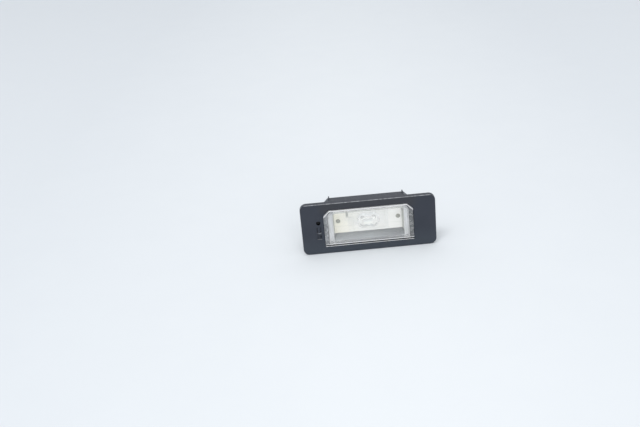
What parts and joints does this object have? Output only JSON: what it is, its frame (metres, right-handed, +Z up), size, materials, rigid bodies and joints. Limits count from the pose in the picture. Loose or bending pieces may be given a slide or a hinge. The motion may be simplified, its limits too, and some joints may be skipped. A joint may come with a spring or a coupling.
{
  "type": "number plate lamp",
  "caption": "Rectangular number plate lamp: dark moulded bezel with a clear cornered window over a white board and lobed optic, a box behind with spring, hook and plug socket.",
  "frame": {"origin": "middle of the bezel's rear rim, on the plane that seats on the body panel", "axes": "+X along the lamp to the right as seen from in front, +Z up its face, +Y into the panel, away from the face"},
  "size_m": [0.084, 0.0274, 0.034],
  "materials": {
    "housing_plastic": "black glass-filled plastic, fine grain",
    "lens_clear": "clear polycarbonate",
    "tray_plastic": "light grey reflector plastic",
    "board_white": "white solder mask on glass-fibre board",
    "led_body": "white reflector cup",
    "phosphor": "silicone with yellow phosphor",
    "optic_clear": "clear acrylic",
    "rivet_nylon": "natural grey nylon",
    "resistor_black": "glazed chip with tinned ends",
    "capacitor_tan": "ceramic chip with tinned ends",
    "diode_black": "moulded epoxy",
    "terminal_tin": "tin-plated brass strip",
    "solder": "bright solder",
    "spring_steel": "dark spring steel",
    "seal_rubber": "black rubber"
  },
  "bodies": {
    "root": {"housing": "housing_plastic", "lens": "lens_clear", "reflector_tray": "tray_plastic", "circuit_board": "board_white", "led_package": "led_body", "led_phosphor": "phosphor", "beam_optic": "optic_clear", "rivet_left": "rivet_nylon", "rivet_right": "rivet_nylon", "resistor_1": "resistor_black", "resistor_2": "resistor_black", "resistor_3": "resistor_black", "resistor_4": "resistor_black", "capacitor_1": "capacitor_tan", "capacitor_2": "capacitor_tan", "polarity_diode": "diode_black", "surge_diode": "diode_black", "terminal_left": "terminal_tin", "terminal_right": "terminal_tin", "terminal_solder": "solder", "retaining_spring": "spring_steel", "flange_seal": "seal_rubber"}
  },
  "joints": []
}
